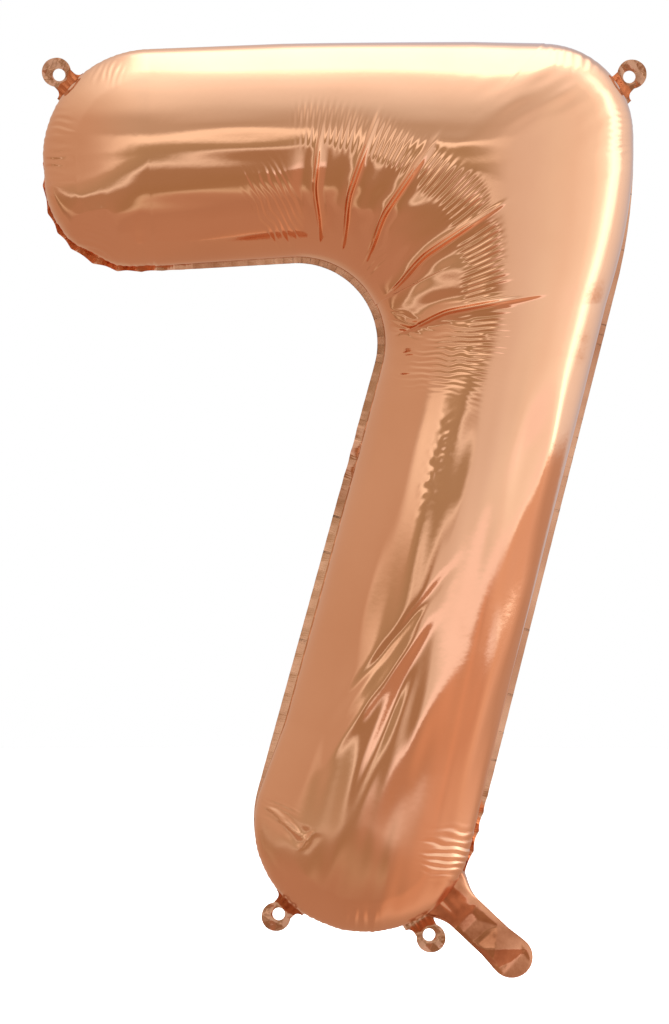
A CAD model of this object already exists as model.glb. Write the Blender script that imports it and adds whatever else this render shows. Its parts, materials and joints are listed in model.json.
import json
import math

import bpy
import numpy as np
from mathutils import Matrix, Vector
from mathutils.geometry import delaunay_2d_cdt


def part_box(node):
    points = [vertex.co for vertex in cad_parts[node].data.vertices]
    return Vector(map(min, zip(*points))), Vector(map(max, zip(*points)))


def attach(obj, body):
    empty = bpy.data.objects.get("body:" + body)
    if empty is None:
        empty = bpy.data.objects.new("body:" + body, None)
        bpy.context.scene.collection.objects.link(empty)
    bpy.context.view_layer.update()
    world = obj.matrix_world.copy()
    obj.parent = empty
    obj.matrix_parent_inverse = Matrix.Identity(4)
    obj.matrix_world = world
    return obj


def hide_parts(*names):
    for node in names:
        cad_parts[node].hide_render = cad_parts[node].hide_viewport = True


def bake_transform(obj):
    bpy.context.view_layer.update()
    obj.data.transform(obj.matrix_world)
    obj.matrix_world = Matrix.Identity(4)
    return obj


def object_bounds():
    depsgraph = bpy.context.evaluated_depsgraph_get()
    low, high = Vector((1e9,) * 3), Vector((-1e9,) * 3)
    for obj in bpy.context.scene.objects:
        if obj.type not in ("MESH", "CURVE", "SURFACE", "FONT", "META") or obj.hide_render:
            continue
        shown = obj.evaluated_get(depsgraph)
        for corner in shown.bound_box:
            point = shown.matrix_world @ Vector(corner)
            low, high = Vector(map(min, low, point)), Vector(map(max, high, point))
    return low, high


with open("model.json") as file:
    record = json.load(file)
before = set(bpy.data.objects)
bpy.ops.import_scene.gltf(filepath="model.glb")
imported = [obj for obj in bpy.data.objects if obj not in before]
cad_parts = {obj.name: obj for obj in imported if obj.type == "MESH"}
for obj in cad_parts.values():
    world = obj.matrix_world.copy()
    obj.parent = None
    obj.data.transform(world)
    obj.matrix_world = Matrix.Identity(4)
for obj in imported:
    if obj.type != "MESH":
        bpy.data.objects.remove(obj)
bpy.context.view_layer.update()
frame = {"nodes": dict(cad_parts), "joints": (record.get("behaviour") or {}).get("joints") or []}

# Everything below is worked out in millimetres in the seam plane (X to the right, Z up) and turned into
# metres when a mesh is made. Y runs from the front (negative) to the back.
MM = 0.001
rim_low, rim_high = (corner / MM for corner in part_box("welded_rim"))
shell_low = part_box("front_foil")[0] / MM

# Corners of the welded rim before rounding, clockwise from the top left, each with its rounding radius.
SEAM_WIDTH = 8.0
LEFT, RIGHT = rim_low.x, rim_high.x
TOP = rim_high.z + 1.8  # the bar's top edge, drawn on to its right corner
FOOT = shell_low.z - SEAM_WIDTH
RIM = [
    ((LEFT, TOP - 11.2), 107.0),  # bar, top left
    ((RIGHT, TOP), 93.0),  # bar, top right
    ((RIGHT, TOP - 172.9), 534.0),  # where the right edge bends into the leg
    ((RIGHT - 175.0, FOOT), 108.0),  # foot, right
    ((LEFT + 171.9, FOOT), 108.0),  # foot, left
    ((LEFT + 352.0, TOP - 209.9), 78.0),  # inner corner under the bar
    ((LEFT, TOP - 230.2), 86.0),  # bar, bottom left
]
FOOT_RIGHT, FOOT_LEFT, INNER = 3, 4, 5
LIMB_HALF = 99.5  # half the width of a limb inside its seam
LIMB_DEPTH = 94.0  # from the seam plane to the front of a limb
CORNER_GAIN = 0.23  # extra depth for each millimetre of half width above the limbs'
END_LENGTH = 100.0  # over which the bar's left end rounds off
FAN_REACH = 190.0  # a point inside the limb, from the inner corner's centre

# The way each tab points, in degrees from +X, and how far beyond its root it folds.
TABS = {
    "top_left_tab": (135.0, 3.5),
    "top_right_tab": (45.0, 3.5),
    "bottom_left_tab": (225.0, 3.5),
    "bottom_middle_tab": (-59.0, 5.5),
}
TAIL_ANGLE = -43.4


# --- Small helpers --------------------------------------------------
def unit(angle):
    """Direction in the seam plane, from its angle to +X in degrees."""
    turn = np.radians(angle)
    return np.stack([np.cos(turn), np.sin(turn)], axis=-1)


def smooth(value, start, end):
    """0 at start, 1 at end, and an even S-curve between."""
    share = np.clip((value - start) / (end - start), 0, 1)
    return share * share * (3 - 2 * share)


def bump_between(value, start, full, fade, end):
    """Rises from 0 at start to 1 at full, and falls from fade to 0 at end."""
    return smooth(value, start, full) * (1 - smooth(value, fade, end))


def waves(a, b, length, seed, count=14, stretch=(1.0, 1.0)):
    """Smooth seeded noise of about unit size, made of crossing waves of about one length."""
    rng = np.random.default_rng(seed)
    total = np.zeros(np.broadcast(a, b).shape)
    for _ in range(count):
        turn = rng.uniform(0, 2 * np.pi)
        rate = 2 * np.pi / (length * rng.uniform(0.65, 1.5))
        ka = rate * np.cos(turn) / stretch[0]
        kb = rate * np.sin(turn) / stretch[1]
        total = total + np.sin(ka * a + kb * b + rng.uniform(0, 2 * np.pi))
    return total / math.sqrt(count / 2)


def facets(u, v, folds):
    """Flat facets between straight creases. A fold is a direction, a length, a shift and a height."""
    total = np.zeros_like(u)
    for angle, length, shift, height in folds:
        ux, uy = unit(angle)
        phase = ((u * ux + v * uy + shift) / length) % 1.0
        total = total + height * (4 * np.abs(phase - 0.5) - 1)
    return total


def new_object(name, vertices, faces, sharp=None):
    """A smooth-shaded mesh object from points in millimetres, with creases kept above an angle."""
    mesh = bpy.data.meshes.new(name)
    mesh.from_pydata((np.asarray(vertices) * MM).tolist(), [], [list(face) for face in faces])
    mesh.update()
    mesh.polygons.foreach_set("use_smooth", np.ones(len(mesh.polygons), bool))
    if sharp:
        mesh.set_sharp_from_angle(angle=math.radians(sharp))
    piece = bpy.data.objects.new(name, mesh)
    bpy.context.scene.collection.objects.link(piece)
    return piece


def vertex_normals(points, quads):
    """Unit normals of a quad mesh."""
    corners = points[quads]
    across = np.cross(corners[:, 2] - corners[:, 0], corners[:, 3] - corners[:, 1])
    normals = np.zeros_like(points)
    for k in range(4):
        np.add.at(normals, quads[:, k], across)
    return normals / np.maximum(np.linalg.norm(normals, axis=1, keepdims=True), 1e-9)


# --- The outline of the seven --------------------------------------------------
def rounding(index):
    """Arc centre, radius and the two tangent angles of one corner of the rim."""
    corner, radius = np.array(RIM[index][0]), RIM[index][1]
    before = np.array(RIM[index - 1][0]) - corner
    after = np.array(RIM[(index + 1) % len(RIM)][0]) - corner
    before, after = before / np.linalg.norm(before), after / np.linalg.norm(after)
    half = math.acos(np.clip(before @ after, -1, 1)) / 2
    bisector = (before + after) / np.linalg.norm(before + after)
    centre = corner + bisector * radius / math.sin(half)
    touches = [corner + side * radius / math.tan(half) - centre for side in (before, after)]
    angles = [math.degrees(math.atan2(t[1], t[0])) for t in touches]
    return centre, radius, angles


def outline(inset):
    """The rim's outline moved in by a distance, clockwise, as points."""
    points = []
    for index in range(len(RIM)):
        centre, radius, (start, end) = rounding(index)
        sweep = (end - start + 180) % 360 - 180
        size = radius - inset if sweep < 0 else radius + inset
        steps = max(int(abs(sweep) * radius / 60), 12)  # about a millimetre each
        for step in range(steps + 1):
            points.append(centre + unit(start + sweep * step / steps) * size)
    return np.array(points)


def cast(origins, directions, loop):
    """Distance from each origin to the nearest crossing of a closed outline."""
    start, along = loop, np.roll(loop, -1, axis=0) - loop
    offset = start[None] - origins[:, None]
    cross = directions[:, None, 0] * along[None, :, 1] - directions[:, None, 1] * along[None, :, 0]
    cross = np.where(np.abs(cross) < 1e-12, 1e-12, cross)
    reach = (offset[..., 0] * along[None, :, 1] - offset[..., 1] * along[None, :, 0]) / cross
    share = (offset[..., 0] * directions[:, None, 1] - offset[..., 1] * directions[:, None, 0]) / cross
    valid = (share >= -1e-9) & (share <= 1 + 1e-9) & (reach > 0)
    return np.where(valid, reach, np.inf).min(axis=1)


foot_centre = (rounding(FOOT_RIGHT)[0] + rounding(FOOT_LEFT)[0]) / 2
inner_centre, inner_radius, _ = rounding(INNER)


def normal_angle(index, flip):
    """Angle of the normal of the rim's edge that ends at a corner."""
    along = np.array(RIM[index][0]) - np.array(RIM[index - 1][0])
    return math.degrees(math.atan2(along[0], -along[1])) + flip


bar_normal = normal_angle(INNER + 1, 180)
leg_left_normal = normal_angle(INNER, -180)
leg_normal = (leg_left_normal + normal_angle(FOOT_RIGHT, 0)) / 2


# How many lines cross the limbs, and from which share of the bar, or up to which share of the leg, they
# stand close together, because the pleats and ripples of the corner reach that far.
BAR_LINES, BAR_FINE_LINES, BAR_FINE_FROM = 34, 56, 0.80
CORNER_LINES = 520
LEG_FINE_LINES, LEG_LINES, LEG_FINE_TO = 90, 170, 0.17


def spine_lines():
    """Lines across the limbs, from the bar's left cap to the foot's: a point on each and its angle."""
    cap_x = LEFT + SEAM_WIDTH + END_LENGTH
    bar_start = np.array([LEFT + SEAM_WIDTH, (RIM[0][0][1] + RIM[-1][0][1]) / 2])
    fan_middle = inner_centre + unit(bar_normal) * (inner_radius + SEAM_WIDTH + LIMB_HALF)
    cap_share = (cap_x - bar_start[0]) / (fan_middle[0] - bar_start[0])
    coarse = np.linspace(cap_share, BAR_FINE_FROM, BAR_LINES, endpoint=False)
    fine = np.linspace(BAR_FINE_FROM, 1.0, BAR_FINE_LINES, endpoint=False)
    lines = []
    for share in np.concatenate([coarse, fine]):
        lines.append((bar_start + (fan_middle - bar_start) * share, 90 + (bar_normal - 90) * share))
    for share in np.linspace(0, 1, CORNER_LINES, endpoint=False):
        angle = bar_normal + (leg_left_normal - bar_normal) * share
        lines.append((inner_centre + unit(angle) * FAN_REACH, angle))
    leg_top = inner_centre + unit(leg_left_normal) * (inner_radius + SEAM_WIDTH + LIMB_HALF)
    fine = np.linspace(0, LEG_FINE_TO, LEG_FINE_LINES, endpoint=False)
    coarse = np.linspace(LEG_FINE_TO, 1.0, LEG_LINES)
    for share in np.concatenate([fine, coarse]):
        angle = leg_left_normal + (leg_normal - leg_left_normal) * min(share * 2, 1)
        lines.append((leg_top + (foot_centre - leg_top) * share, angle))
    return lines


def make_columns():
    """Where each column of the shell starts on the seam and ends on the spine, round the whole outline."""
    loop = outline(SEAM_WIDTH)
    points, angles = (np.array(part) for part in zip(*spine_lines()))
    direction = unit(angles)
    out = cast(points, direction, loop)
    back = cast(points, -direction, loop)
    outer = points + direction * out[:, None]
    inner = points - direction * back[:, None]
    spine = (outer + inner) / 2
    half = (out + back) / 2
    depth = LIMB_DEPTH + CORNER_GAIN * np.maximum(half - LIMB_HALF, 0)
    count = len(points)
    foot_turns = np.linspace(angles[-1], angles[-1] - 180, CAP_COLUMNS + 2)[1:-1]
    left_turns = np.linspace(angles[0] + 180, angles[0], CAP_COLUMNS + 2)[1:-1]
    caps = []
    for end, turns in ((count - 1, foot_turns), (0, left_turns)):
        origin = np.repeat(spine[end:end + 1], CAP_COLUMNS, axis=0)
        reach = cast(origin, unit(turns), loop)
        caps.append((origin + unit(turns) * reach[:, None], origin, np.full(CAP_COLUMNS, depth[end]), end))
    order = [
        (outer, spine, depth, np.arange(count)),
        (caps[0][0], caps[0][1], caps[0][2], np.full(CAP_COLUMNS, count - 1)),
        (inner[::-1], spine[::-1], depth[::-1], np.arange(count)[::-1]),
        (caps[1][0], caps[1][1], caps[1][2], np.full(CAP_COLUMNS, 0)),
    ]
    edge = np.concatenate([part[0] for part in order])
    middle = np.concatenate([part[1] for part in order])
    deep = np.concatenate([part[2] for part in order])
    shared = np.concatenate([part[3] for part in order])
    zone = np.concatenate([np.full(len(part[0]), k) for k, part in enumerate(order)])
    turns = np.concatenate([angles, foot_turns, angles[::-1], left_turns])
    return edge, middle, deep, shared, zone, turns, count


CAP_COLUMNS = 240  # round each of the two ends
ROWS = 66  # from the seam to the spine
OUTER_SIDE, FOOT_CAP, INNER_SIDE, LEFT_CAP = range(4)
edge, middle, deep, shared, zone, turns, spine_count = make_columns()
steps = np.linalg.norm(np.diff(np.vstack([edge, edge[:1]]), axis=0), axis=1)
around = np.concatenate([[0], np.cumsum(steps)[:-1]])
girth = steps.sum()


def bulge_sizes():
    """How far the foil bulges out past its seam, column by column. Where it does, it hides the rim."""
    x, z = edge[:, 0], edge[:, 1]
    size = np.zeros(len(edge))
    corner_or_leg = np.interp(z, [-320, -250, 200, 330], [5.5, 3.5, 4.0, 11.0])
    side = zone == OUTER_SIDE
    over_bar = np.interp(x, [-190, -60, 120, 190], [11.0, 13.5, 13.5, 11.5])
    size[side] = np.where((x < 190) & (z > 200), over_bar, corner_or_leg)[side]
    side = zone == INNER_SIDE
    leg = np.interp(z, [-276, -205, 60, 150], [8.0, 0.8, 1.5, 2.5])
    bar = np.interp(x, [-186, -120, 20], [6.0, 5.5, 4.0])
    size[side] = np.where(z > 200, bar, leg)[side]
    side = zone == FOOT_CAP
    size[side] = np.interp(turns[side], [leg_normal - 180, leg_normal - 150, leg_normal - 45, leg_normal],
                           [8.0, 11.0, 11.0, 5.5])
    side = zone == LEFT_CAP
    size[side] = np.interp(turns[side], [90, 175, 215, 270], [11.0, 10.0, 5.0, 5.0])
    return size


def end_share():
    """1 round the two ends, 0 along the limbs, and a gradual change between them."""
    ends = ((zone == LEFT_CAP) | (zone == FOOT_CAP)).astype(float)
    even = np.linspace(0, girth, 1200, endpoint=False)
    nearest = np.interp(even, around, ends)
    kernel = np.hanning(61)
    over = 60  # samples repeated at both ends, because the seam is closed
    closed = np.concatenate([nearest[-over:], nearest, nearest[:over]])
    soft = np.convolve(closed, kernel / kernel.sum(), "same")
    return np.interp(around, even, soft[over:-over])


def arch(rise):
    """Each column's arch from seam to spine, as heights: an ellipse on the limbs, a rounder form on the ends.

    Beside a limb the end's arch starts with no curvature along the limb, so the two meet without a line.
    """
    weight = np.zeros(len(edge))
    for which, axis in ((FOOT_CAP, leg_normal - 90), (LEFT_CAP, 180.0)):
        here = zone == which
        lined_up = np.cos(np.radians(turns[here] - axis)) ** 2
        weight[here] = lined_up * (1 - 0.7 * lined_up)
    out = np.clip(np.cos(rise), 1e-6, 1 - 1e-6)
    power = 2 + weight[:, None] * np.minimum(-1 / np.log(out), 3)[None]
    return np.sqrt(1 - np.cos(rise)[None].clip(0, 1) ** power)


# --- Wrinkles: how far the foil stands in or out of its smooth shape ------------------------------------
# The pleats fan out from the inner corner: direction in degrees, distance at which they end, and depth.
PLEATS = [(83.4, 205.0, 3.6), (70.0, 235.0, 4.0), (55.0, 242.0, 4.4), (33.2, 245.0, 4.6), (10.4, 243.0, 4.4)]
# Groups of ripples: middle, direction, half length, half width, distance between ripples, height.
STROKES = [
    ((-67, 295), -61.0, 32.0, 23.0, 5.9, 0.24),  # aslant, under the bar's middle
    ((98, 152), -3.0, 30.0, 40.0, 5.6, 0.19),  # below the last pleat
    ((104.6, -333), -9.0, 24.0, 30.0, 7.4, 0.42),  # foot, right
    ((-62, -292), -24.0, 15.0, 13.0, 5.0, 0.26),  # foot, left
    ((-278, 352), -8.0, 13.0, 38.0, 8.0, 0.2),  # the bar's left end
    ((-229, 421), 72.0, 13.0, 18.0, 6.0, 0.30),
    ((268, 361), 4.0, 13.0, 28.0, 6.5, 0.32),  # outer corner
    ((218, 437), 80.0, 11.0, 32.0, 8.5, 0.26),
    ((-48, -380), 62.0, 12.0, 26.0, 8.0, 0.34),  # under the foot
    ((16, -398), 88.0, 12.0, 20.0, 9.0, 0.30),
    ((60, 178), -22.0, 16.0, 12.0, 6.0, 0.35),  # between the pleats, near the inner corner
    ((24, 236), 40.0, 15.0, 12.0, 7.0, 0.25),
]
# Where the rim is drawn up into scallops, and how far round each place.
RIM_SCALLOPS = [((-282, 300), 48), ((-232, 240), 45), ((134, -318), 34), ((-15, 60), 26), ((120, -360), 25)]
# Short creases: from, to, depth, width.
END_CREASES = [
    ((-222, 280), (-212, 240), 0.5, 1.8),
    ((-262, 350), (-256, 290), 0.35, 4.0),
    ((-258, 284), (-228, 289), 0.9, 2.0),
    ((-74, -286), (-37, -318), 1.5, 1.3),
    ((-30, -308), (-43, -326), 1.1, 1.3),
]
# Long folds across the lower leg: from, to, height, width.
DRAG_FOLDS = [
    ((96, -62), (-4, -192), 1.5, 4.6),
    ((84, -100), (-12, -238), -1.4, 5.6),
    ((74, -122), (10, -284), 1.9, 6.4),
    ((100, -150), (30, -300), -1.5, 12.0),
]
LOBE = (-240, 262)  # middle of the pinched lobe at the bar's lower left
LEG_LEAN = (0.26, 0.966)  # how the leg runs: this much to the left for so much down


def polar(x, z):
    """Distance and direction from the inner corner's centre."""
    dx, dz = x - inner_centre[0], z - inner_centre[1]
    return np.hypot(dx, dz), np.degrees(np.arctan2(dz, dx))


def beside_line(x, z, start, end):
    """Distance along a line from its start, distance off it, and the line's length."""
    length = math.dist(start, end)
    ux, uz = (end[0] - start[0]) / length, (end[1] - start[1]) / length
    along = (x - start[0]) * ux + (z - start[1]) * uz
    off = (z - start[1]) * ux - (x - start[0]) * uz
    return along, off, length


def bell(distance, width):
    """1 in the middle, falling away evenly on both sides."""
    return np.exp(-(distance / width) ** 2)


def round_seam(distance, length):
    """Phase of what repeats round the seam about every length, a whole number of times."""
    return 2 * np.pi * np.round(girth / length) * distance / girth


def wander_round(distance, seed):
    """A slow drift of phase, which makes what repeats round the seam uneven."""
    turn = 2 * np.pi * distance / girth
    return sum(np.sin(k * turn + seed * k) / k for k in (3, 7, 13, 29, 41)) * 6


def pleats(x, z):
    """The deep folds that fan out from the inner corner, and a mask that keeps ripples off them."""
    r, turn = polar(x, z)
    total = np.zeros_like(r)
    quiet = np.ones_like(r)
    for angle, end, depth in PLEATS:
        bend = 6.5 * (1 - smooth(r, 88, 152))
        off = np.radians(turn - angle + bend) * r
        along = (0.35 * smooth(r, 92, 106) + 0.65 * smooth(r, 100, 130)) * (1 - smooth(r, 165, end + 6))
        width = 1.5 + 0.5 * smooth(r, 95, 200)
        pillow = 0.3 * bell(np.abs(off) - 11, 9) * (1 - 0.6 * smooth(r, 120, 220))
        total += depth * along * (pillow - 0.85 * bell(off, width) - 0.15 * bell(off, 5))
        quiet *= 1 - along * bell(off, 6)
    return total, quiet


def corner_ripples(x, z, quiet, seed):
    """Fine crush ripples across the foil between and beyond the pleats."""
    r, turn = polar(x, z)
    r = r + 24 * (1 - smooth(turn, 5, 45))
    wander = waves(x, z, 70, seed + 1) * 0.7
    level = 0.75 + 0.3 * waves(x, z, 34, seed + 2)
    band = bump_between(r, 180, 194, 216, 236)
    span = bump_between(turn, -26, 16, 86, 93)
    ripple = np.sin(2 * np.pi * turn / 1.6 + wander)
    return 0.25 * band * span * np.clip(level, 0, 1.3) * quiet * ripple


def strokes(x, z, seed):
    """Groups of short parallel ripples with ragged ends."""
    total = np.zeros_like(x)
    for number, ((cx, cz), angle, half_long, half_wide, length, height) in enumerate(STROKES):
        (ux, uz), (vx, vz) = unit(angle), unit(angle + 90)
        along = (x - cx) * ux + (z - cz) * uz
        off = (x - cx) * vx + (z - cz) * vz
        near = (np.abs(along) < 2 * half_long) & (np.abs(off) < 2 * half_wide)
        here, across = along[near], off[near]
        ragged = 0.25 * half_long * waves(across, 0 * across, 9, seed + number)
        window = 1 - smooth(np.abs(here + ragged), 0.35 * half_long, 1.25 * half_long)
        window = window * (1 - smooth(np.abs(across), 0.4 * half_wide, 1.2 * half_wide))
        phase = 2 * np.pi * across / length + 0.9 * waves(across, here, 4 * length, seed + 50 + number)
        total[near] += height * window * np.sin(phase)
    return total


def rim_puckers(around_here, inside, ends, seed):
    """Gathers along the seam, strongest round the two ends."""
    wander = wander_round(around_here, seed)
    wide = np.abs(np.sin(round_seam(around_here, 11.0) / 2 + wander))
    fine = np.sin(round_seam(around_here, 6.2) + 2 * wander)
    gather = -(0.03 + 0.69 * ends) * 1.1 * (1 - wide) * np.exp(-inside / 13)
    return gather + ends * 0.22 * fine * bell(inside - 12, 13)


def end_creases(x, z):
    """The pinched lobe at the bar's lower left, and the short creases beside it and at the foot."""
    total = np.zeros_like(x)
    for start, end, depth, width in END_CREASES:
        along, off, length = beside_line(x, z, start, end)
        window = bump_between(along / length, -0.1, 0.2, 0.8, 1.12)
        shoulder = 0.5 * bell(np.abs(off) - 4 * width, 3 * width)
        total += depth * window * (shoulder - np.exp(-np.abs(off) / width))
    lobe = np.exp(-(((x - LOBE[0]) / 19) ** 2 + ((z - LOBE[1]) / 23) ** 2) ** 1.7)
    return total + lobe * (5.2 + 0.3 * np.sin(2 * np.pi * (z + 0.35 * x) / 6.0))


def drag_folds(x, z):
    """Long soft folds that cross the lower leg aslant, from the pinch at the foot's left."""
    total = np.zeros_like(x)
    for start, end, height, width in DRAG_FOLDS:
        along, off, length = beside_line(x, z, start, end)
        window = bump_between(along / length, -0.2, 0.4, 0.55, 1.25)
        total += height * bell(off + 0.02 * along, width) * window
    return total


def broad_shape(x, z, seed):
    """The slow dents and flats of a large foil panel, drawn out along the leg and along the bar."""
    lean, drop = LEG_LEAN
    down = -lean * x - drop * z
    across = drop * x - lean * z
    leg = 0.32 * waves(across, down, 26, seed, stretch=(1.0, 6.0))
    leg = leg + 0.5 * waves(across, down, 70, seed + 1, stretch=(1, 3))
    bar = 0.16 * waves(x, z, 30, seed + 2, stretch=(6.0, 1.0))
    bar = bar + 0.3 * waves(x, z, 90, seed + 3, stretch=(2, 1))
    bar = bar * (1 - 0.8 * smooth(z, 350, 400)) * (1 - 0.9 * smooth(x, 110, 190))
    on_leg = 1 - smooth(z, 60, 190)
    panels = leg * on_leg + bar * (1 - on_leg)
    return panels + outer_corner_fan(x, z, seed + 4) + leg_crush(across, down, z, seed + 5)


def outer_corner_fan(x, z, seed):
    """Faint streaks towards the outer corner."""
    fan = 0.17 * waves(0.87 * x + 0.5 * z, 0.87 * z - 0.5 * x, 15, seed, stretch=(5.0, 1.0))
    return fan * np.exp(-(((x - 200) / 70) ** 2 + ((z - 395) / 45) ** 2) ** 1.5)


def leg_crush(across, down, z, seed):
    """A narrow crumpled streak down the upper leg, left of its middle."""
    crush = 0.2 * waves(across, down, 8, seed, stretch=(1.0, 1.6))
    return crush * bell(across - 72, 7) * bump_between(z, -20, 30, 60, 110)


def taper(x, z):
    """How the limbs grow shallower towards the bar's end and towards the foot."""
    bar = np.clip((-35 - x) / 150, 0, 2) ** 2 * smooth(z, 150, 230)
    leg = np.clip((10 - z) / 310, 0, 2) ** 1.5
    return 1 - 0.09 * bar - 0.24 * leg


# --- The inflated foils and the rim --------------------------------------------------
SWELL_PEAK = math.radians(17)  # how far up its arch the foil bulges most past its seam
ARCH_LENGTH = 97.0  # along the foil, for each radian of its arch


def outward_round():
    """Each column's direction away from the spine."""
    outward = edge - middle
    return outward / np.linalg.norm(outward, axis=1, keepdims=True)


def smooth_shell(side):
    """The foil with no wrinkles: points, quads, and each point's way round, way in and share of an end."""
    columns = len(edge)
    rise = np.linspace(0, math.pi / 2, ROWS + 1)
    swell = (rise / SWELL_PEAK) * np.exp(1 - rise / SWELL_PEAK) * np.cos(rise)
    flat = middle[:, None] + (edge - middle)[:, None] * np.cos(rise)[None, :, None]
    flat = flat + outward_round()[:, None] * (bulge_sizes()[:, None] * swell[None])[..., None]
    y = side * deep[:, None] * arch(rise) * taper(flat[..., 0], flat[..., 1])
    grid = np.stack([flat[..., 0], y, flat[..., 1]], axis=-1)
    inside = np.broadcast_to((rise * ARCH_LENGTH)[None], (columns, ROWS + 1))
    way_round = np.broadcast_to(around[:, None], (columns, ROWS + 1))
    ends = np.broadcast_to(end_share()[:, None], (columns, ROWS + 1))
    on_seam = np.stack([way_round, inside, ends], axis=-1)

    number = np.zeros((columns, ROWS + 1), int)
    number[:, :ROWS] = spine_count + np.arange(columns * ROWS).reshape(columns, ROWS)
    number[:, ROWS] = shared
    points = np.zeros((spine_count + columns * ROWS, 3))
    rim_place = np.zeros((len(points), 3))
    for array, source in ((points, grid), (rim_place, on_seam)):
        array[number[:, :ROWS].ravel()] = source[:, :ROWS].reshape(-1, 3)
        array[number[:, ROWS]] = source[:, ROWS]
    following = np.roll(number, -1, axis=0)
    quads = np.stack([number[:, :-1], following[:, :-1], following[:, 1:], number[:, 1:]], axis=-1)
    quads = quads.reshape(-1, 4)
    return points, quads if side < 0 else quads[:, ::-1], rim_place


def wrinkles(points, rim_place, seed):
    """How far each point stands out. Every kind of wrinkle fades out before the seam, which stays flat."""
    x, z = points[:, 0], points[:, 2]
    way_round, inside, ends = rim_place.T
    fold, quiet = pleats(x, z)
    offset = (fold + corner_ripples(x, z, quiet, seed)) * smooth(inside, 0, 10)
    offset += strokes(x, z, seed + 9) * smooth(inside, 0, 5)
    offset += broad_shape(x, z, seed + 20) * smooth(inside, 0, 45)
    offset += end_creases(x, z) * smooth(inside, 0, 8)
    offset += drag_folds(x, z) * smooth(inside, 5, 40)
    offset += rim_puckers(way_round, inside, ends, seed) * smooth(inside, 0, 4)
    return offset


def foil_shell(name, side, seed):
    """One inflated foil: side is -1 for the front and 1 for the back."""
    points, quads, rim_place = smooth_shell(side)
    normals = vertex_normals(points, quads)
    points = points + normals * wrinkles(points, rim_place, seed)[:, None]
    faces = [list(dict.fromkeys(quad)) for quad in quads.tolist()]
    return new_object(name, points, [face for face in faces if len(face) > 2])


RIM_INSET = 1.0  # how far the rim reaches in under the foils
RIM_STEP = 0.12  # the outer border lies this far in front of the seam plane, the inner one as far behind


def scallop_strength():
    """How strongly the rim waves and is drawn in at each column, most in the scalloped places."""
    strength = 0.04 * np.ones(len(edge))
    for (x, z), size in RIM_SCALLOPS:
        strength += np.exp(-((edge[:, 0] - x) ** 2 + (edge[:, 1] - z) ** 2) / size ** 2)
    return strength


def rim_strip(name):
    """The welded rim: a wavy ribbon with no thickness all round the seam, with a face to each side."""
    tangent = np.roll(edge, -1, axis=0) - np.roll(edge, 1, axis=0)
    tangent = tangent / np.linalg.norm(tangent, axis=1, keepdims=True)
    square = np.stack([-tangent[:, 1], tangent[:, 0]], axis=-1)
    square *= np.sign((square * outward_round()).sum(1))[:, None]
    wander = wander_round(around, 1)
    strength = scallop_strength()
    wave = 2.2 * np.sin(round_seam(around, 19) + wander)
    wave = (wave + 0.35 * np.sin(round_seam(around, 6.3) + 2 * wander)) * strength
    drawn_in = 2.0 * strength * np.abs(np.sin(round_seam(around, 21) / 2 + wander))
    lean = (0.11 - 0.6 * np.minimum(strength - 0.04, 1)) * SEAM_WIDTH
    outer = edge + square * (SEAM_WIDTH - drawn_in)[:, None]
    inner = edge - square * RIM_INSET
    grid = np.zeros((len(edge), 2, 3))
    grid[:, 0] = np.stack([outer[:, 0], wave + lean - RIM_STEP, outer[:, 1]], axis=-1)
    grid[:, 1] = np.stack([inner[:, 0], np.full(len(edge), RIM_STEP), inner[:, 1]], axis=-1)
    number = np.arange(2 * len(edge)).reshape(-1, 2)
    following = np.roll(number, -1, axis=0)
    corners = [number, following, following[:, ::-1], number[:, ::-1]]
    faces = np.stack(corners, axis=-1).reshape(-1, 4)
    return new_object(name, grid.reshape(-1, 3), faces.tolist(), sharp=50)


# --- Flat foil pieces: tabs and tail --------------------------------------------------
def inside_loop(point, loop):
    """Whether a point lies inside a closed outline."""
    x, y = point
    loop = np.asarray(loop)
    following = np.roll(loop, -1, axis=0)
    crosses = (loop[:, 1] > y) != (following[:, 1] > y)
    rise = np.where(following[:, 1] == loop[:, 1], 1e-12, following[:, 1] - loop[:, 1])
    at = loop[:, 0] + (y - loop[:, 1]) * (following[:, 0] - loop[:, 0]) / rise
    return bool(np.count_nonzero(crosses & (x < at)) % 2)


def filled(border, holes, spacing):
    """A border and its holes filled with an even net of points: the points and the triangles."""
    def on_piece(point):
        return inside_loop(point, border) and not any(inside_loop(point, hole) for hole in holes)

    vertices, edges_in = [], []
    for loop in [border] + holes:
        first = len(vertices)
        vertices += [tuple(point) for point in loop]
        edges_in += [(first + k, first + (k + 1) % len(loop)) for k in range(len(loop))]
    low, high = np.min(border, axis=0), np.max(border, axis=0)
    us = np.arange(low[0] + spacing, high[0], spacing)
    vs = np.arange(low[1] + spacing, high[1], spacing * 0.87)
    fixed = np.array(vertices)
    for k, v in enumerate(vs):
        for u in us + (spacing / 2 if k % 2 else 0):
            if np.hypot(fixed[:, 0] - u, fixed[:, 1] - v).min() >= 0.6 * spacing and on_piece((u, v)):
                vertices.append((u, v))
    found = delaunay_2d_cdt([Vector(v) for v in vertices], edges_in, [], 1, 1e-6)
    flat = np.array([tuple(v) for v in found[0]])
    return flat, [list(face) for face in found[2] if on_piece(flat[list(face)].mean(axis=0))]


def flat_piece(name, flat, triangles, front, back):
    """A closed piece with two faces: the same net of triangles at its front and its back points."""
    count = len(flat)
    faces = triangles + [[k + count for k in reversed(face)] for face in triangles]
    used = {}
    for face in triangles:
        for k in range(3):
            used[(face[k], face[(k + 1) % 3])] = True
    for a, b in used:
        if (b, a) not in used:
            faces.append([b, a, a + count, b + count])
    return new_object(name, np.vstack([front, back]), faces, sharp=50)


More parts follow.
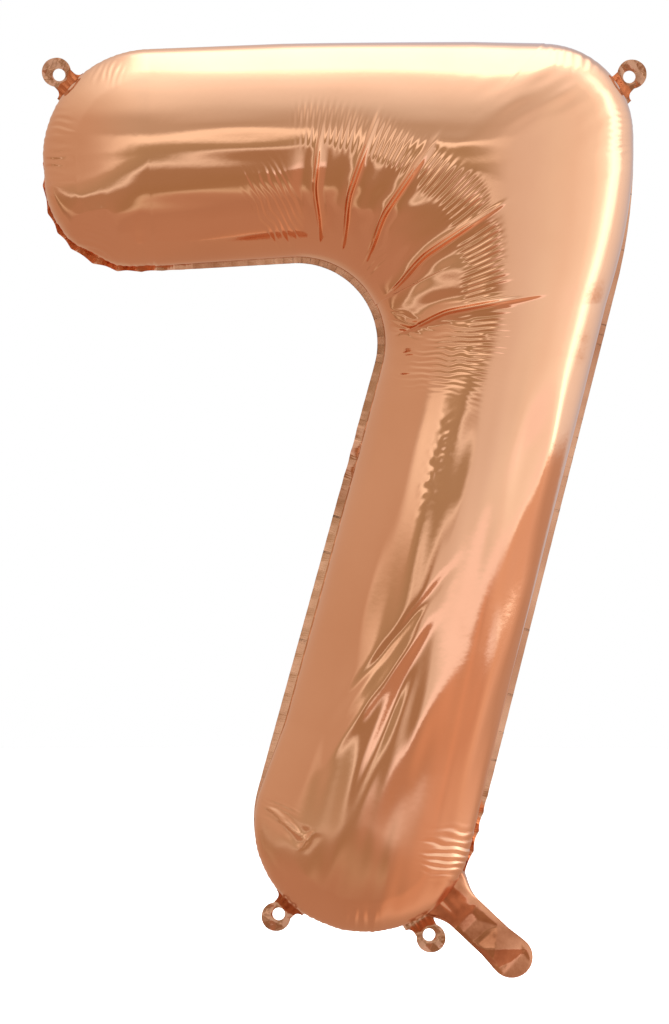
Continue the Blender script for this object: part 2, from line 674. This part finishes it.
def stood_up(root, angle, flat, y):
    """Points of a flat piece, from its own plane to their places: root is its start and angle its way."""
    spot = root + flat[:, :1] * unit(angle) + flat[:, 1:] * unit(angle + 90)
    return np.stack([spot[:, 0], y, spot[:, 1]], axis=-1)


HEAD_OUT = 18.3  # a tab's sizes, outwards from its root
HEAD_RADIUS = 14.2
HEAD_JOIN_OUT = 9.9  # where the neck runs into the head
NECK_HALF = 11.6
ROOT_FLARE = 6.0
HOLE_OUT = 14.5
HOLE_RADIUS = 6.0
TAB_HALF_THICKNESS = 0.16


def tab_root(name):
    """The middle of a tab's root, from the joint that folds it."""
    angle, fold = TABS[name]
    joint = next(joint for joint in frame["joints"] if joint["name"] == name + "_fold")
    x, _, z = joint["pos_m"]
    return np.array([x, z]) / MM - unit(angle) * fold


def tab_border():
    """A tab's border: flare, neck and round head on one side, mirrored on the other."""
    half_root = NECK_HALF + ROOT_FLARE
    side = [(-6.0, half_root), (0.0, half_root)]
    for turn in np.linspace(180, 270, 10)[1:]:
        side.append(tuple(np.array([ROOT_FLARE, half_root]) + unit(turn) * ROOT_FLARE))
    join = math.degrees(math.acos(-(HEAD_OUT - HEAD_JOIN_OUT) / HEAD_RADIUS))
    for turn in np.linspace(join, 0, 26):
        side.append(tuple(np.array([HEAD_OUT, 0]) + unit(turn) * HEAD_RADIUS))
    return np.array(side + [(u, -v) for u, v in reversed(side[:-1])])


def tab_piece(name, seed):
    """One creased tab with its punched hole. It leans forwards over its gathered root."""
    hole = np.array([HOLE_OUT, 0]) + unit(np.linspace(0, 360, 49)[:-1]) * HOLE_RADIUS
    flat, triangles = filled(tab_border(), [hole], 1.0)
    u, v = flat[:, 0], flat[:, 1]
    folds = [(seed * 47.0 + 61 * k, 13.0 + 4 * k, 3.0 * k, 0.7) for k in range(3)]
    rough = facets(u, v, folds) + 0.12 * waves(u, v, 7, seed)
    lip = 0.5 * bell(np.hypot(u - HOLE_OUT, v) - HOLE_RADIUS, 1.2)
    gather = 0.25 * np.sin(2 * np.pi * v / 5.5) * (1 - smooth(u, 1, 9))
    y = rough * smooth(u, 4, 12) + gather + lip - 5.0 * smooth(u, -3, 13)
    front, back = (stood_up(tab_root(name), TABS[name][0], flat, y + side * TAB_HALF_THICKNESS)
                   for side in (-1, 1))
    return flat_piece(name + "_foil", flat, triangles, front, back)


TAIL_START = 96.0  # distances from the middle of the foot
TAIL_END = 195.5  # centre of the tail's round end
TAIL_END_RADIUS = 20.5
TAIL_HALF_WIDTH = 18.5
TAIL_FOLDS = [
    (-46.6, 44.0, 6.0, 1.9),
    (35.0, 52.0, 14.0, 1.5),
    (-8.0, 37.0, 4.0, 0.5),
    (80.0, 31.0, 0.0, 0.3),
]
# How far the neck under the foot stands out, by distance, as it flattens into the tail.
NECK_PLACES = [84, 100, 112, 122, 129, 136, 145]
NECK_DEPTHS = [22, 17, 12.5, 8.0, 4.5, 1.6, 0.35]
FILM_ROOM = 0.32  # kept free for the valve films between the tail's two faces


def tail_half(u):
    """Half width of the tail at a distance from the middle of the foot."""
    body = TAIL_HALF_WIDTH + 14.5 * (1 - smooth(u, 92, 134)) ** 1.2
    beyond = np.maximum(u - TAIL_END, 0)
    round_end = np.sqrt(np.clip(TAIL_END_RADIUS ** 2 - beyond ** 2, 0, None))
    swell = smooth(u, 170, 196) * (TAIL_END_RADIUS - TAIL_HALF_WIDTH)
    return np.where(u > TAIL_END, round_end, body + swell)


def tail_border():
    """The tail's border, from under the foot round its end and back."""
    straight = np.arange(TAIL_START, TAIL_END, 1.3)
    rounded = TAIL_END + TAIL_END_RADIUS * np.sin(np.radians(np.linspace(0, 90, 20)))
    us = np.concatenate([straight, rounded])
    upper = [(u, float(tail_half(u))) for u in us[:-1]] + [(us[-1], 0.0)]
    return np.array(upper + [(u, -v) for u, v in reversed(upper[:-1])])


def neck_height(u, v):
    """How far the gathered neck and the flat tail stand from the seam plane."""
    deep_here = np.interp(u, NECK_PLACES, NECK_DEPTHS)
    share = np.clip(1 - (v / np.maximum(tail_half(u), 1)) ** 2, 0, 1) ** 0.5
    gathers = waves(v, 0.12 * u, 9, 71)
    pleat = 1 - 0.05 * gathers * bump_between(u, 98, 104, 124, 132)
    return np.maximum(deep_here * share * pleat, 0.12)


def tail_crumple(u, v, seed):
    """Creased flat foil, standing clear of the valve films between its two faces."""
    from_side = tail_half(u) - np.abs(v)
    rough = facets(u, v, TAIL_FOLDS) + 0.02 * waves(u, v, 9, seed) + 0.9
    over_film = FILM_ROOM * smooth(from_side, 0.5, 4) * (1 - smooth(u, 197, 202))
    return np.maximum(rough, 0) * smooth(u, 122, 140) * smooth(from_side, 0, 6) + over_film


def tail_piece():
    """The neck under the foot and the flat filling tail, as one closed piece."""
    flat, triangles = filled(tail_border(), [], 1.25)
    u, v = flat[:, 0], flat[:, 1]
    front = stood_up(foot_centre, TAIL_ANGLE, flat, -tail_crumple(u, v, 61) - neck_height(u, v))
    back = stood_up(foot_centre, TAIL_ANGLE, flat, tail_crumple(u, v, 67) + neck_height(u, v))
    return flat_piece("tail_foil", flat, triangles, front, back)


# --- Materials --------------------------------------------------
class Wires:
    """Short ways to add nodes to a node tree and to link them. Each gives back the new node's output."""

    def __init__(self, tree):
        self.nodes, self.links = tree.nodes, tree.links

    def put(self, value, socket):
        """Sets a socket to a number, or links it to an output."""
        if isinstance(value, (int, float)):
            socket.default_value = value
        elif value is not None:
            self.links.new(value, socket)

    def calc(self, operation, a, b=None):
        """A sum or another operation on one or two values."""
        node = self.nodes.new("ShaderNodeMath")
        node.operation = operation
        self.put(a, node.inputs[0])
        self.put(b, node.inputs[1])
        return node.outputs[0]

    def split(self, vector):
        """The three parts of a vector."""
        node = self.nodes.new("ShaderNodeSeparateXYZ")
        self.put(vector, node.inputs[0])
        return node.outputs

    def noise(self, vector, scale, detail=2.0):
        node = self.nodes.new("ShaderNodeTexNoise")
        node.inputs["Scale"].default_value = scale
        node.inputs["Detail"].default_value = detail
        self.put(vector, node.inputs["Vector"])
        return node.outputs["Fac"]

    def ramp(self, value, stops):
        """A colour ramp. A stop is a place from 0 to 1 and a colour."""
        node = self.nodes.new("ShaderNodeValToRGB")
        self.put(value, node.inputs["Fac"])
        elements = node.color_ramp.elements
        while len(elements) < len(stops):
            elements.new(0.5)
        for element, (place, *colour) in zip(elements, stops):
            element.position = place
            element.color = (*colour, 1)
        return node.outputs["Color"]

    def rescaled(self, value, low, high):
        """A value from 0 to 1 taken to a range."""
        node = self.nodes.new("ShaderNodeMapRange")
        node.inputs["To Min"].default_value = low
        node.inputs["To Max"].default_value = high
        self.put(value, node.inputs["Value"])
        return node.outputs["Result"]

    def share(self, value, start, end, most=1.0):
        """0 where the value is at start, most at end, and an S-curve between."""
        node = self.nodes.new("ShaderNodeMapRange")
        node.interpolation_type = "SMOOTHSTEP"
        node.inputs["From Min"].default_value = start
        node.inputs["From Max"].default_value = end
        node.inputs["To Max"].default_value = most
        self.put(value, node.inputs["Value"])
        return node.outputs["Result"]

    def mixed(self, share, a, b):
        """Colour a where share is 0, b where it is 1."""
        node = self.nodes.new("ShaderNodeMix")
        node.data_type = "RGBA"
        self.put(share, node.inputs["Factor"])
        self.put(a, node.inputs[6])
        self.put(b, node.inputs[7])
        return node.outputs[2]


def new_material(name):
    """A material, its node tree's wires, its shader, and the output that gives the place on the object."""
    material = bpy.data.materials.new(name)
    material.use_nodes = True
    wires = Wires(material.node_tree)
    place = wires.nodes.new("ShaderNodeTexCoord").outputs["Object"]
    return material, wires, wires.nodes["Principled BSDF"], place


FOOT_HAZE_START, FOOT_HAZE_END = -0.22, -0.33  # heights in metres between which the foil grows hazy


def foil_material(name, tint, dark, roughness, bump_size, foot_haze=0.0, patch=9.0):
    """Metallised film: a bright tinted mirror with faint streaks and a fine crumple, hazier at the foot."""
    material, wires, shader, place = new_material(name)
    shader.inputs["Metallic"].default_value = 1.0
    tone = wires.ramp(wires.noise(place, patch, 5.0), [(0.3, *dark), (0.7, *tint)])
    wires.put(tone, shader.inputs["Base Color"])
    streaks = wires.rescaled(wires.noise(place, 46.0, 6.0), *roughness)
    hazy = wires.share(wires.split(place)["Z"], FOOT_HAZE_START, FOOT_HAZE_END, foot_haze)
    wires.put(wires.calc("ADD", streaks, hazy), shader.inputs["Roughness"])
    bump = wires.nodes.new("ShaderNodeBump")
    bump.inputs["Strength"].default_value = 0.25
    bump.inputs["Distance"].default_value = bump_size
    wires.put(wires.noise(place, 140.0, 3.0), bump.inputs["Height"])
    wires.put(bump.outputs["Normal"], shader.inputs["Normal"])
    return material


def film_material():
    """Clear polyethylene film, a little cloudy."""
    material, wires, shader, place = new_material("valve_film")
    tone = wires.ramp(wires.noise(place, 60.0), [(0.0, 0.62, 0.62, 0.6), (1.0, 0.86, 0.86, 0.84)])
    wires.put(tone, shader.inputs["Base Color"])
    shader.inputs["Roughness"].default_value = 0.3
    shader.inputs["Alpha"].default_value = 0.6
    return material


def floor_material():
    """Matt pale paper with a faint grain."""
    material, wires, shader, _ = new_material("pale_floor")
    tone = wires.ramp(wires.noise(None, 12.0), [(0.0, 0.86, 0.86, 0.86), (1.0, 0.9, 0.9, 0.9)])
    wires.put(tone, shader.inputs["Base Color"])
    shader.inputs["Roughness"].default_value = 0.9
    return material


ROSE = (0.89, 0.51, 0.32)
ROSE_DARK = (0.85, 0.47, 0.285)
foil = foil_material("rose_gold_foil", ROSE, ROSE_DARK, (0.05, 0.11), 0.00015, foot_haze=0.16)
rim_foil = foil_material("rim_foil", (0.9, 0.54, 0.36), (0.5, 0.22, 0.12), (0.10, 0.2), 0.0003)
tab_foil = foil_material("tab_foil", (0.66, 0.37, 0.24), (0.5, 0.25, 0.15), (0.10, 0.24), 0.0008)
TAIL_TINTS = ((0.84, 0.41, 0.24), (0.36, 0.12, 0.05))
tail_foil = foil_material("tail_foil", *TAIL_TINTS, (0.10, 0.24), 0.0005, patch=26.0)
film = film_material()

# --- The balloon --------------------------------------------------
front = foil_shell("front_foil_skin", -1, 3)
back = foil_shell("back_foil_skin", 1, 11)
rim = rim_strip("welded_rim_foil")
for piece, node, material in (
    (front, "front_foil", foil),
    (back, "back_foil", foil),
    (rim, "welded_rim", rim_foil),
):
    piece.data.materials.append(material)
    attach(piece, "balloon")
    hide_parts(node)


for number, (name, (angle, fold)) in enumerate(TABS.items()):
    piece = tab_piece(name, 31 + 7 * number)
    piece.data.materials.append(tab_foil)
    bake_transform(piece)
    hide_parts(name)

tail = tail_piece()
tail.data.materials.append(tail_foil)
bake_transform(tail)
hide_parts("tail_front_ply", "tail_back_ply")

for node in ("valve_neck_front", "valve_neck_back", "valve_front_film", "valve_back_film"):
    frame["nodes"][node].data.materials.clear()
    frame["nodes"][node].data.materials.append(film)


# --- Floor, light and camera --------------------------------------------------
def make_floor():
    """A pale round floor below the balloon, which the foil doesn't mirror."""
    radius, gap = 6.0, 0.12
    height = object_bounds()[0][2] - gap
    turns = np.linspace(0, 2 * math.pi, 97)[:-1]
    ring = [(radius * math.cos(turn), radius * math.sin(turn), height) for turn in turns]
    mesh = bpy.data.meshes.new("floor")
    mesh.from_pydata(ring, [], [list(range(len(ring)))])
    mesh.materials.append(floor_material())
    floor = bpy.data.objects.new("floor", mesh)
    bpy.context.scene.collection.objects.link(floor)
    floor.visible_glossy = False


# Colour of what the foil mirrors, by angle in degrees. Height: 0 ahead of the balloon, 90 above, 180
# behind, -90 below. Bearing: 0 ahead, 90 to the right, -90 to the left. LEFT_STOPS go by level: 0 at the
# horizon, 90 above. LAMP_STOPS and FLOOR_STOPS go by bearing.
ROOM_LEVEL = 3.0  # the brightest that a colour below may be
HEIGHT_STOPS = [
    (-180, 0.5, 0.32, 0.25), (-138, 0.56, 0.36, 0.25), (-80, 0.56, 0.36, 0.25), (-71, 0.58, 0.39, 0.28),
    (-66, 0.5, 0.33, 0.22), (-60, 0.4, 0.25, 0.15), (-49, 0.3, 0.2, 0.12), (-44, 0.62, 0.49, 0.36),
    (-37, 0.82, 0.72, 0.58), (-31, 0.43, 0.29, 0.18), (-24, 0.42, 0.28, 0.17), (-5, 0.44, 0.3, 0.2),
    (0, 1.0, 0.95, 0.9), (4, 0.46, 0.36, 0.25), (13, 0.5, 0.4, 0.28), (18, 1.2, 1.14, 1.06),
    (23, 1.2, 1.14, 1.06), (27, 0.6, 0.52, 0.44), (34, 0.57, 0.49, 0.41), (41, 0.64, 0.58, 0.52),
    (50, 0.78, 0.76, 0.73), (62, 0.98, 0.98, 0.98), (76, 1.3, 1.3, 1.34), (82, 1.6, 1.6, 1.6),
    (87, 2.5, 2.5, 2.5), (117, 2.6, 2.6, 2.6), (127, 1.3, 1.35, 1.4), (136, 0.7, 0.8, 1.0),
    (180, 0.6, 0.66, 0.82),
]
LEFT_STOPS = [
    (-90, 0.5, 0.35, 0.27), (-40, 0.56, 0.4, 0.3), (0, 0.62, 0.45, 0.35), (18, 0.66, 0.5, 0.4),
    (40, 0.85, 0.76, 0.68), (60, 1.1, 1.08, 1.05), (90, 1.8, 1.8, 1.8),
]
LAMP_STOPS = [
    (-180, 0.55, 0.55, 0.6), (0, 0.8, 0.73, 0.68), (26, 0.88, 0.83, 0.8), (42, 0.95, 0.92, 0.88),
    (59, 1.0, 0.95, 0.91), (78, 1.12, 1.12, 1.1), (88, 1.5, 1.5, 1.5), (96, 2.5, 2.6, 2.7),
    (103, 2.2, 2.25, 2.3), (110, 1.1, 1.12, 1.15), (144, 0.66, 0.68, 0.76), (180, 0.55, 0.55, 0.6),
]
FLOOR_STOPS = [
    (-180, 0.53, 0.33, 0.24), (-60, 0.53, 0.33, 0.24), (0, 0.53, 0.32, 0.23), (30, 0.58, 0.35, 0.24),
    (58, 0.78, 0.46, 0.32), (72, 0.7, 0.42, 0.3), (88, 0.86, 0.58, 0.44), (104, 0.84, 0.58, 0.46),
    (122, 0.6, 0.4, 0.3), (180, 0.52, 0.33, 0.24),
]
STRIP_LIGHT = (1.15, 1.06, 1.1)  # a pale strip low on the right, between the floor and the lamp's wall
# Levels in degrees, over which one part of the right side gives way to the next.
FLOOR_TO_WALL = (-16.1, -14.3)
FLOOR_TO_STRIP = (-17.8, -16.0)
WALL_TO_STRIP = (-11.0, -13.5)


class RoomWires(Wires):
    """Wires of the world's node tree, with angles in degrees."""

    def by_angle(self, angle, stops):
        """Colour by an angle, from stops of degrees and colour."""
        turn = self.calc("ADD", self.calc("DIVIDE", angle, 2 * math.pi), 0.5)
        scaled = [(degrees / 360 + 0.5, *(c / ROOM_LEVEL for c in colour)) for degrees, *colour in stops]
        return self.ramp(turn, scaled)

    def share_between(self, angle, start, end):
        """Like share, with its two ends in degrees."""
        return self.share(angle, math.radians(start), math.radians(end))

    def times(self, *factors):
        """The product of two or more values."""
        total = factors[0]
        for factor in factors[1:]:
            total = self.calc("MULTIPLY", total, factor)
        return total


def right_side(wires, ahead, level, bearing, room, floor):
    """The wall with the lamp, the floor below it, and the pale strip where they meet."""
    lamp = wires.by_angle(bearing, LAMP_STOPS)
    wall = wires.mixed(wires.share_between(level, 30, 75), lamp, room)
    border = wires.calc("ADD", level, wires.times(wires.calc("MAXIMUM", ahead, 0.0), 0.02))
    border = wires.calc("ADD", border, wires.times(wires.calc("MINIMUM", ahead, 0.0), 0.12))
    by_lamp = wires.share_between(bearing, 84, 92)
    border = wires.calc("SUBTRACT", border, wires.times(by_lamp, 0.026))
    right = wires.mixed(wires.share_between(border, *FLOOR_TO_WALL), floor, wall)
    strip = wires.nodes.new("ShaderNodeRGB").outputs[0]
    strip.default_value = (*(channel / ROOM_LEVEL for channel in STRIP_LIGHT), 1)
    over = wires.share_between(border, *WALL_TO_STRIP)
    under = wires.share_between(border, *FLOOR_TO_STRIP)
    toward = wires.share_between(bearing, 95, 70)
    return wires.mixed(wires.times(over, under, toward), right, strip)


def left_side(wires, x, z, ahead, level, room, floor):
    """The plain left and back of the room, the banded light ahead, and the floor low down."""
    plain = wires.by_angle(level, LEFT_STOPS)
    off_middle = wires.calc("ABSOLUTE", wires.calc("SUBTRACT", z, 0.1))
    aside = wires.calc("SUBTRACT", x, wires.times(off_middle, 0.45))
    beside = wires.times(wires.share(aside, -0.25, -0.6), wires.share(ahead, 0.96, 0.5),
                         wires.share_between(level, -12, 2), wires.share(x, -0.08, -0.25))
    behind = wires.times(wires.share(x, 0.02, -0.08), wires.share(ahead, -0.4, -0.8))
    wall = wires.mixed(wires.calc("MAXIMUM", beside, behind), room, plain)
    below = wires.times(wires.share(x, -0.2, -0.75), wires.share_between(level, -5, -40))
    left = wires.mixed(below, wall, floor)
    deeper = wires.times(wires.share(x, 0.12, 0.0), wires.share_between(level, -36, -46), 0.9)
    return wires.mixed(deeper, left, floor)


def room_light(wires):
    """Colour of the light from each direction, as the foil mirrors it."""
    toward = wires.nodes.new("ShaderNodeTexCoord").outputs["Generated"]
    x, y, z = wires.split(toward)
    shift = wires.times(wires.calc("SUBTRACT", wires.noise(toward, 2.6, 3.0), 0.5), 0.16)
    ahead = wires.times(y, -1.0)
    reach = wires.calc("ADD", ahead, wires.times(wires.calc("ABSOLUTE", x), 0.45))
    slant = wires.times(wires.calc("MAXIMUM", wires.times(x, -1.0), 0.0), 0.3)
    height = wires.calc("ADD", wires.calc("ARCTAN2", z, reach), wires.calc("ADD", shift, slant))
    bearing = wires.calc("ADD", wires.calc("ARCTAN2", x, ahead), shift)
    level = wires.calc("ADD", wires.calc("ARCSINE", z), wires.times(shift, 0.15))
    room = wires.by_angle(height, HEIGHT_STOPS)
    floor = wires.by_angle(bearing, FLOOR_STOPS)
    left = left_side(wires, x, z, ahead, level, room, floor)
    right = right_side(wires, ahead, level, bearing, room, floor)
    to_right = wires.times(x, wires.calc("SUBTRACT", 1.0, wires.calc("MAXIMUM", z, 0.0)))
    return wires.mixed(wires.share(to_right, -0.05, 0.18), left, right)


def world_light():
    """White for the camera. The foil mirrors soft ceiling light, a lamp on the right and a darker room."""
    world = bpy.data.worlds.new("studio")
    bpy.context.scene.world = world
    world.use_nodes = True
    wires = RoomWires(world.node_tree)
    wires.nodes.clear()
    studio = wires.nodes.new("ShaderNodeBackground")
    studio.inputs["Strength"].default_value = ROOM_LEVEL
    wires.put(room_light(wires), studio.inputs["Color"])
    pale = wires.nodes.new("ShaderNodeBackground")
    pale.inputs["Color"].default_value = (1, 1, 1, 1)
    choose = wires.nodes.new("ShaderNodeMixShader")
    seen = wires.nodes.new("ShaderNodeLightPath")
    wires.put(seen.outputs["Is Camera Ray"], choose.inputs["Fac"])
    wires.put(studio.outputs[0], choose.inputs[1])
    wires.put(pale.outputs[0], choose.inputs[2])
    output = wires.nodes.new("ShaderNodeOutputWorld")
    wires.put(choose.outputs[0], output.inputs["Surface"])


def soft_lamp(name, place, target, size, power):
    """An area lamp that the foil doesn't mirror."""
    light = bpy.data.lights.new(name, "AREA")
    light.shape = "RECTANGLE"
    light.size, light.size_y = size
    light.energy = power
    lamp = bpy.data.objects.new(name, light)
    lamp.location = place
    lamp.rotation_euler = (Vector(target) - Vector(place)).to_track_quat("-Z", "Y").to_euler()
    lamp.visible_glossy = False
    bpy.context.scene.collection.objects.link(lamp)


CAMERA_DISTANCE = 4.0
FRAME_HEIGHT = 0.9984  # what the camera takes in at the seam plane
CAMERA_X, CAMERA_Z = -0.0099, -0.0015  # the balloon stands a little off the middle of the view


def make_camera():
    """A long lens straight ahead of the balloon."""
    data = bpy.data.cameras.new("camera")
    data.sensor_fit = "VERTICAL"
    data.sensor_height = 24.0
    data.lens = data.sensor_height * CAMERA_DISTANCE / FRAME_HEIGHT
    camera = bpy.data.objects.new("camera", data)
    camera.location = (CAMERA_X, -CAMERA_DISTANCE, CAMERA_Z)
    camera.rotation_euler = (math.radians(90), 0, 0)
    bpy.context.scene.collection.objects.link(camera)
    bpy.context.scene.camera = camera


make_floor()
world_light()
soft_lamp("ceiling_panel", (0.2, -0.4, 2.6), (0, 0, 0), (2.5, 2.0), 260)
make_camera()
bpy.context.scene.view_settings.view_transform = "Standard"
